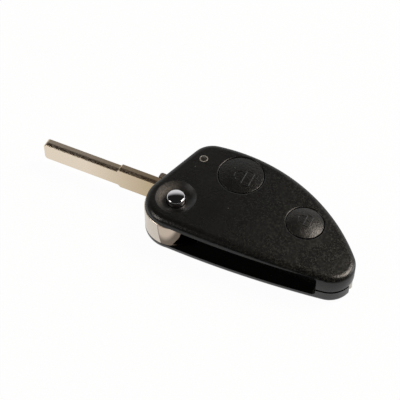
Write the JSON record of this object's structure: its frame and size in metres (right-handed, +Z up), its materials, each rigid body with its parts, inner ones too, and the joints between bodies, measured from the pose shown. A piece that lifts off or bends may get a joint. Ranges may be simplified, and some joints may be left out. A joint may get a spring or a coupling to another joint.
{
  "type": "folding key fob shell",
  "caption": "Moulded black key fob with a steel key blade that flips out on a nickel-plated carrier, a chromed release button and domed lock and unlock buttons.",
  "frame": {"origin": "where the blade's pivot axis meets the flat base of the case", "axes": "+X along the case to its key-ring end, the open blade points along -X, +Z up through the buttons"},
  "size_m": [0.113, 0.0375, 0.016],
  "materials": {
    "moulded_black_abs": "moulded leather grain, fine specks",
    "black_button_plastic": "moulded fine grain",
    "satin_nickel_zinc": "die-cast, satin nickel plate",
    "satin_nickel_blade": "milled, satin nickel plate",
    "bright_chrome": "polished chrome plate",
    "spring_steel": "bright drawn wire",
    "pin_steel": "plain ground steel",
    "clear_acrylic": "clear, polished",
    "green_fibreglass_board": "glass-epoxy board with solder mask",
    "black_switch_plastic": "moulded",
    "water_clear_epoxy": "cast epoxy",
    "black_chip_epoxy": "moulded epoxy",
    "cell_steel": "nickel-plated can",
    "tinned_spring_sheet": "tinned sheet",
    "transponder_resin": "pressed resin",
    "black_oxide_steel": "black oxide"
  },
  "bodies": {
    "case": {"upper_case": "moulded_black_abs", "lower_case": "moulded_black_abs", "led_lens": "clear_acrylic", "circuit_board": "green_fibreglass_board", "unlock_switch": "black_switch_plastic", "lock_switch": "black_switch_plastic", "indicator_led": "water_clear_epoxy", "control_chip": "black_chip_epoxy", "coin_cell": "cell_steel", "positive_contact": "tinned_spring_sheet", "negative_contact": "tinned_spring_sheet", "transponder": "transponder_resin", "key_ring_post": "pin_steel", "case_screws": "black_oxide_steel"},
    "blade_unit": {"blade": "satin_nickel_blade", "blade_carrier": "satin_nickel_zinc", "blade_roll_pin": "pin_steel", "spring_seat": "pin_steel", "flip_spring": "spring_steel"},
    "release_button": {"release_button": "bright_chrome"},
    "unlock_button": {"unlock_button": "black_button_plastic"},
    "lock_button": {"lock_button": "black_button_plastic"}
  },
  "joints": [
    {"name": "blade_flip", "type": "hinge", "parent": "case", "child": "blade_unit", "pos_m": [0, 0, 0.0072], "axis": [0, 0, 1], "range_deg": [0, 180], "stiffness_Nm_per_rad": 0.006, "springref_deg": -34.38},
    {"name": "release_press", "type": "slide", "parent": "blade_unit", "child": "release_button", "axis": [0, 0, -1], "range_m": [0, 0.0025], "stiffness_N_per_m": 1200, "springref_m": -0.0025, "deforming": ["flip_spring"]},
    {"name": "unlock_press", "type": "slide", "parent": "case", "child": "unlock_button", "axis": [0, 0, -1], "range_m": [0, 0.0006], "stiffness_N_per_m": 2500, "springref_m": -0.0004},
    {"name": "lock_press", "type": "slide", "parent": "case", "child": "lock_button", "axis": [0, 0, -1], "range_m": [0, 0.0006], "stiffness_N_per_m": 2500, "springref_m": -0.0004}
  ]
}
